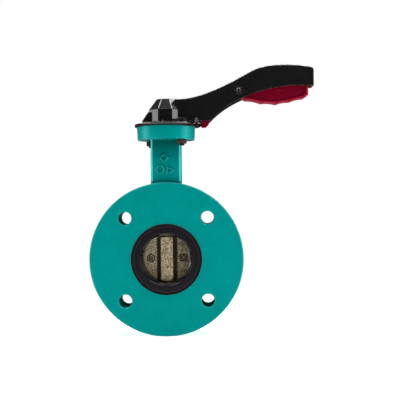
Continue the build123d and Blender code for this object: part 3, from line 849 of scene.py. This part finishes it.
def setOut(piece, places, turns):
    # one copy at each place, turned, and all joined
    pieces = []
    for place, turn in zip(places, turns):
        twin = copied(piece)
        twin.location = (place[0], place[1], 0)
        twin.rotation_euler = (0, 0, math.radians(turn))
        tidyMesh(twin)
        pieces.append(twin)
    bpy.data.objects.remove(piece)
    return joined(pieces)


def modelBolts(look):
    head = hexBlock(look["headFrom"], look["headFrom"] + look["headHigh"], False)
    bolts = setOut(joined([head, threadedShank(look)]), look["places"], look["turns"])
    finishPiece(bolts, "plateBolts", "body", "black_steel", 30)
    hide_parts("plate_bolts")


def modelNuts(look):
    block = hexBlock(look["low"], look["high"], True)
    bpy.ops.object.select_all(action="DESELECT")
    bpy.ops.mesh.primitive_cylinder_add(
        vertices=32, radius=look["hole"], depth=look["drill"], location=(0, 0, look["low"]))
    cutWith(block, bpy.context.object, "DIFFERENCE")
    nuts = setOut(block, plateBolts["places"], look["turns"])
    finishPiece(nuts, "plateNuts", "body", "brown_steel", 30)
    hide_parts("plate_nuts")


modelBolts(plateBolts)
modelNuts(plateNuts)
print("bolts and nuts done")


# a parting line down each side of the neck

partingLine = {
    "sideX": 0.0163, "rise": 0.0006, "width": 0.0012, "taper": 0.4,
    "low": 0.0815, "high": 0.128, "softEdge": 0.00015,
}


def modelPartingLine(look):
    sides = []
    for side in (-1, 1):
        bpy.ops.object.select_all(action="DESELECT")
        bpy.ops.mesh.primitive_plane_add(
            size=1, location=(side * look["sideX"], 0, (look["low"] + look["high"]) / 2),
            rotation=(0, math.radians(90), 0))
        line = bpy.context.object
        line.scale = (look["high"] - look["low"], look["width"], 1)
        bpy.ops.object.transform_apply(location=False, rotation=False, scale=True)
        bpy.ops.object.mode_set(mode="EDIT")
        bpy.ops.mesh.select_all(action="SELECT")
        bpy.ops.mesh.extrude_region_move(TRANSFORM_OT_translate={"value": (side * look["rise"], 0, 0)})
        bpy.ops.transform.resize(value=(1, look["taper"], 1))
        bpy.ops.object.mode_set(mode="OBJECT")
        tidyMesh(line)
        sides.append(line)
    both = joined(sides)
    applyModifier(both, "BEVEL", width=look["softEdge"], segments=2, limit_method="ANGLE")
    return finishPiece(both, "neckPartingLine", "body", "body_paint", 60)


modelPartingLine(partingLine)
print("parting line done")


# a shallow curved rib in the trigger's recess

gripRib = {
    "wallY": -0.0072, "rise": 0.001, "keepBelow": 0.1826, "softEdge": 0.0002,
    "ring": {"sides": 32, "radius": 0.0062, "width": 0.0011, "x": 0.1234, "z": 0.1868, "turn": 0},
}


def modelGripRib(look):
    rib = raisedRing(look["ring"], look["wallY"], look["rise"])
    bpy.ops.object.mode_set(mode="EDIT")
    bpy.ops.mesh.select_all(action="SELECT")
    bpy.ops.mesh.bisect(
        plane_co=(0, 0, look["keepBelow"]), plane_no=(0, 0, 1), use_fill=True, clear_outer=True)
    bpy.ops.object.mode_set(mode="OBJECT")
    applyModifier(rib, "BEVEL", width=look["softEdge"], segments=2, limit_method="ANGLE")
    return finishPiece(rib, "gripRib", "squeezing", "trigger_red", 60)


modelGripRib(gripRib)
print("grip rib done")


# the trigger's spring: a coil of wire wound between two given heights
triggerSpring = {
    "x": 0.1, "low": 0.18455, "high": 0.19885, "coil": 0.0036, "wire": 0.00045, "turns": 6, "steps": 24,
    "seatZ": 0.1994, "keep": 0.7,
}


def modelSpring(look):
    bpy.ops.object.select_all(action="DESELECT")
    bpy.ops.mesh.primitive_circle_add(
        vertices=10, radius=look["wire"], location=(look["coil"], 0, 0), rotation=(math.radians(90), 0, 0))
    coil = bpy.context.object
    tidyMesh(coil)
    bpy.context.scene.cursor.location = (0, 0, 0)
    bpy.ops.object.origin_set(type="ORIGIN_CURSOR")
    applyModifier(
        coil, "SCREW", axis="Z", angle=math.radians(360), iterations=look["turns"], steps=look["steps"],
        screw_offset=(look["high"] - look["low"]) / look["turns"])
    bpy.ops.object.mode_set(mode="EDIT")
    bpy.ops.mesh.select_all(action="SELECT")
    bpy.ops.mesh.fill_holes(sides=0)
    bpy.ops.object.mode_set(mode="OBJECT")
    coil.location = (look["x"], 0, look["low"])
    finishPiece(coil, "triggerSpring", "turning", "spring_steel", 60)
    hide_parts("trigger_spring")
    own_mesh(coil)


modelSpring(triggerSpring)
print("spring done")


# floor, room and studio lamps

studio = {
    "floorSize": 12.0,
    "clearRadius": 0.1,
    "whiteRadius": 0.45,
    "floorColour": (0.88, 0.88, 0.88), "floorMirrored": (0.1, 0.1, 0.1),
    "tableGlow": 0.9, "roomGlow": 0.03,
    "backdropGlow": 1.0,
}


def buildFloor():
    low = cadBounds[0].z
    bpy.ops.object.select_all(action="DESELECT")
    bpy.ops.mesh.primitive_plane_add(size=studio["floorSize"], location=(0, 0, low))
    floor = bpy.context.object
    floor.name = "floor"
    material = bpy.data.materials.new("floorPaper")
    material.use_nodes = True
    tree = material.node_tree
    paper = tree.nodes["Principled BSDF"]
    path = addNode(tree, "ShaderNodeLightPath")
    shade = addNode(tree, "ShaderNodeMix", {
        6: (*studio["floorColour"], 1), 7: (*studio["floorMirrored"], 1)}, data_type="RGBA")
    join(tree, path, "Is Glossy Ray", shade, 0)
    join(tree, shade, 2, paper, "Base Color")
    join(tree, shade, 2, paper, "Emission Color")
    paper.inputs["Emission Strength"].default_value = studio["tableGlow"]
    paper.inputs["Roughness"].default_value = 0.9
    paper.inputs["Specular IOR Level"].default_value = 0.1
    bright = addNode(tree, "ShaderNodeEmission", {"Color": (1, 1, 1, 1), "Strength": studio["backdropGlow"]})
    place = addNode(tree, "ShaderNodeTexCoord")
    apart = addNode(tree, "ShaderNodeVectorMath", operation="LENGTH")
    join(tree, place, "Object", apart, 0)
    outward = addNode(
        tree, "ShaderNodeMapRange", {1: studio["clearRadius"], 2: studio["whiteRadius"]},
        interpolation_type="SMOOTHSTEP")
    join(tree, apart, "Value", outward, 0)
    seen = addNode(tree, "ShaderNodeMath", operation="MULTIPLY")
    join(tree, outward, 0, seen, 0)
    join(tree, path, "Is Camera Ray", seen, 1)
    mixed = addNode(tree, "ShaderNodeMixShader")
    join(tree, seen, 0, mixed, 0)
    tree.links.new(paper.outputs[0], mixed.inputs[1])
    tree.links.new(bright.outputs[0], mixed.inputs[2])
    tree.links.new(mixed.outputs[0], tree.nodes["Material Output"].inputs["Surface"])
    floor.data.materials.append(material)


def buildRoom():
    # a dim room for the object to reflect, and plain white behind it
    world = bpy.data.worlds.new("room")
    bpy.context.scene.world = world
    world.use_nodes = True
    tree = world.node_tree
    room = tree.nodes["Background"]
    room.inputs["Color"].default_value = (1, 1, 1, 1)
    room.inputs["Strength"].default_value = studio["roomGlow"]
    white = addNode(tree, "ShaderNodeBackground", {"Color": (1, 1, 1, 1), "Strength": studio["backdropGlow"]})
    path = addNode(tree, "ShaderNodeLightPath")
    mixed = addNode(tree, "ShaderNodeMixShader")
    join(tree, path, "Is Camera Ray", mixed, 0)
    tree.links.new(room.outputs[0], mixed.inputs[1])
    tree.links.new(white.outputs[0], mixed.inputs[2])
    tree.links.new(mixed.outputs[0], tree.nodes["World Output"].inputs["Surface"])


lamps = {
    "keyBox": {"at": (0.4, -0.75, 0.85), "aim": (0.0, 0, 0.03), "size": (0.4, 0.3), "power": 1.2},
    "frontStrip": {"at": (0.0, -0.5, 0.98), "aim": (0.0, 0, 0.05), "size": (0.9, 0.05), "power": 2.2},
    "overheadLeft": {"at": (-0.42, -0.08, 0.95), "aim": (0, 0, 0.1), "size": (0.42, 0.42), "power": 6.5},
    "overheadRight": {"at": (0.5, -0.08, 0.95), "aim": (0, 0, 0.1), "size": (0.42, 0.42), "power": 6.5},
    "overheadBack": {"at": (0.1, 0.35, 0.95), "aim": (0.05, 0, 0.1), "size": (1.0, 0.45), "power": 11.0},
    "leftBox": {"at": (-0.95, -0.1, 0.12), "aim": (0, 0, 0.06), "size": (0.5, 0.7), "power": 3.8},
    "rightBox": {"at": (1.0, -0.1, 0.12), "aim": (0.03, 0, 0.06), "size": (0.5, 0.7), "power": 4.4},
}


def buildLamps():
    for name, lamp in lamps.items():
        data = bpy.data.lights.new(name, "AREA")
        data.shape = "RECTANGLE"
        data.size, data.size_y = lamp["size"]
        data.energy = lamp["power"]
        made = bpy.data.objects.new(name, data)
        bpy.context.scene.collection.objects.link(made)
        made.location = lamp["at"]
        made.visible_camera = False
        toward = Vector(lamp["aim"]) - Vector(lamp["at"])
        made.rotation_euler = toward.to_track_quat("-Z", "Y").to_euler()


cameraSetup = {
    "at": (0.045, -0.8375, 0.0641),
    "lens": 69.0,
    "sensor": 36.0,
    "rollDegrees": 0.6,
    "shift": (-0.02, -0.0027),
}


def buildCamera():
    data = bpy.data.cameras.new("camera")
    data.lens = cameraSetup["lens"]
    data.sensor_width = cameraSetup["sensor"]
    data.shift_x, data.shift_y = cameraSetup["shift"]
    camera = bpy.data.objects.new("camera", data)
    bpy.context.scene.collection.objects.link(camera)
    camera.location = cameraSetup["at"]
    camera.rotation_euler = (math.radians(90), math.radians(cameraSetup["rollDegrees"]), 0)
    bpy.context.scene.camera = camera


buildFloor()
buildRoom()
buildLamps()
buildCamera()
bpy.context.scene.view_settings.view_transform = "Standard"
print("studio ready")
